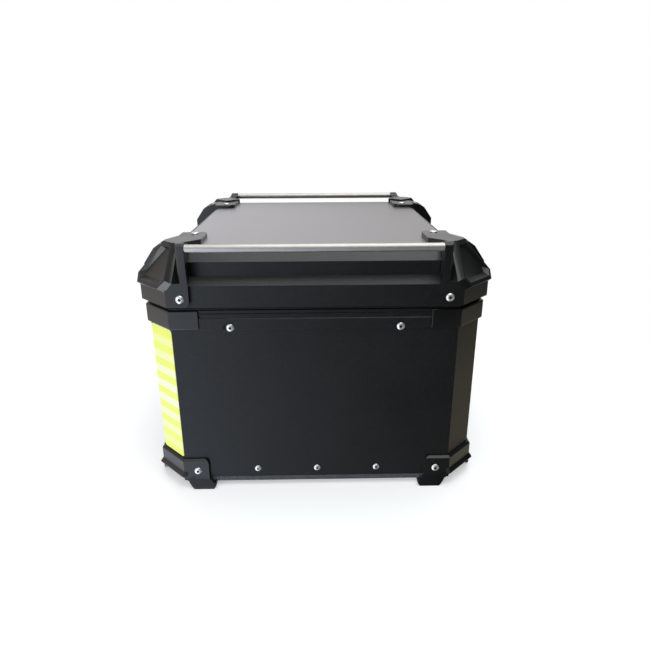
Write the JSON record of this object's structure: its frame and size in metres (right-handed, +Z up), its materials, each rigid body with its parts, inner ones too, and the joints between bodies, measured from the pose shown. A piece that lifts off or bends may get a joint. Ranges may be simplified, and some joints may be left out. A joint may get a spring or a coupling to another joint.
{
  "type": "motorcycle top case",
  "caption": "Hard luggage box for a motorcycle's rear rack: folded metal body, stepped hinged lid with carrying rods and corner guards, over-centre latch with a key.",
  "frame": {"origin": "under the middle of the case, on the plane its feet stand on", "axes": "+X towards the rider, where the lid's hinges are; -X is the rear with the latch and the reflective corners; +Y is the case's left side; +Z is up, through the lid's panel"},
  "size_m": [0.4204, 0.4578, 0.3065],
  "materials": {
    "black_powder_coat": "fine-texture black powder coat on aluminium sheet",
    "grey_lid_panel": "satin grey coated aluminium",
    "satin_rod": "satin drawn aluminium",
    "black_plastic": "fine-grained moulded plastic",
    "seal_rubber": "matte extruded rubber",
    "bright_steel": "bright stainless steel",
    "dark_steel": "black zinc-plated steel",
    "yellow_film": "fluorescent yellow reflective film"
  },
  "bodies": {
    "case": {"body_shell": "black_powder_coat", "base_pan": "black_powder_coat", "lid_seal": "seal_rubber", "rim_rail_right": "black_powder_coat", "rim_rail_left": "black_powder_coat", "rim_rail_rear": "black_powder_coat", "rim_rail_front": "black_powder_coat", "rim_corner_rear_right": "black_plastic", "rim_corner_front_right": "black_plastic", "rim_corner_front_left": "black_plastic", "rim_corner_rear_left": "black_plastic", "foot_corner_rear_right": "black_plastic", "foot_corner_front_right": "black_plastic", "foot_corner_front_left": "black_plastic", "foot_corner_rear_left": "black_plastic", "rim_rivet_rear_right": "bright_steel", "rim_rivet_front_right": "bright_steel", "rim_rivet_front_left": "bright_steel", "rim_rivet_rear_left": "bright_steel", "foot_rivet_rear_right": "bright_steel", "foot_rivet_front_right": "bright_steel", "foot_rivet_front_left": "bright_steel", "foot_rivet_rear_left": "bright_steel", "reflective_film_right": "yellow_film", "reflective_film_left": "yellow_film", "hinge_body_leaf_right": "dark_steel", "hinge_body_leaf_left": "dark_steel", "hinge_pin_right": "bright_steel", "hinge_pin_left": "bright_steel", "latch_housing": "black_plastic", "latch_lever_pin": "bright_steel"},
    "lid": {"lid_frame": "black_powder_coat", "lid_pan": "black_powder_coat", "lid_panel": "grey_lid_panel", "lid_guard_rear_right": "black_plastic", "lid_guard_front_right": "black_plastic", "lid_guard_front_left": "black_plastic", "lid_guard_rear_left": "black_plastic", "lid_rivet_rear_right": "bright_steel", "lid_rivet_front_right": "bright_steel", "lid_rivet_front_left": "bright_steel", "lid_rivet_rear_left": "bright_steel", "top_screw_rear_right": "bright_steel", "top_screw_front_right": "bright_steel", "top_screw_front_left": "bright_steel", "top_screw_rear_left": "bright_steel", "carry_rod_right": "satin_rod", "carry_rod_left": "satin_rod", "hinge_lid_leaf_right": "dark_steel", "hinge_lid_leaf_left": "dark_steel", "lid_striker": "dark_steel"},
    "latch_lever": {"latch_lever": "black_plastic", "latch_claw_pin": "bright_steel"},
    "latch_claw": {"latch_claw": "bright_steel"},
    "key": {"key_barrel": "bright_steel", "lock_cam": "dark_steel"}
  },
  "joints": [
    {"name": "lid_hinge", "type": "hinge", "parent": "case", "child": "lid", "pos_m": [0.203, 0, 0.2345], "axis": [0, 1, 0], "range_deg": [0, 100]},
    {"name": "latch_lever_pivot", "type": "hinge", "parent": "case", "child": "latch_lever", "pos_m": [-0.2045, 0, 0.194], "axis": [0, 1, 0], "range_deg": [0, 95]},
    {"name": "latch_claw_pivot", "type": "hinge", "parent": "latch_lever", "child": "latch_claw", "pos_m": [-0.2079, 0, 0.176], "axis": [0, 1, 0], "range_deg": [-105, 0]},
    {"name": "key_turn", "type": "hinge", "parent": "latch_lever", "child": "key", "pos_m": [-0.2079, 0, 0.148], "axis": [1, 0, 0], "range_deg": [0, 90]}
  ],
  "couplings": [
    {"joint": "latch_claw_pivot", "follows": "latch_lever_pivot", "ratio": -1.1}
  ]
}
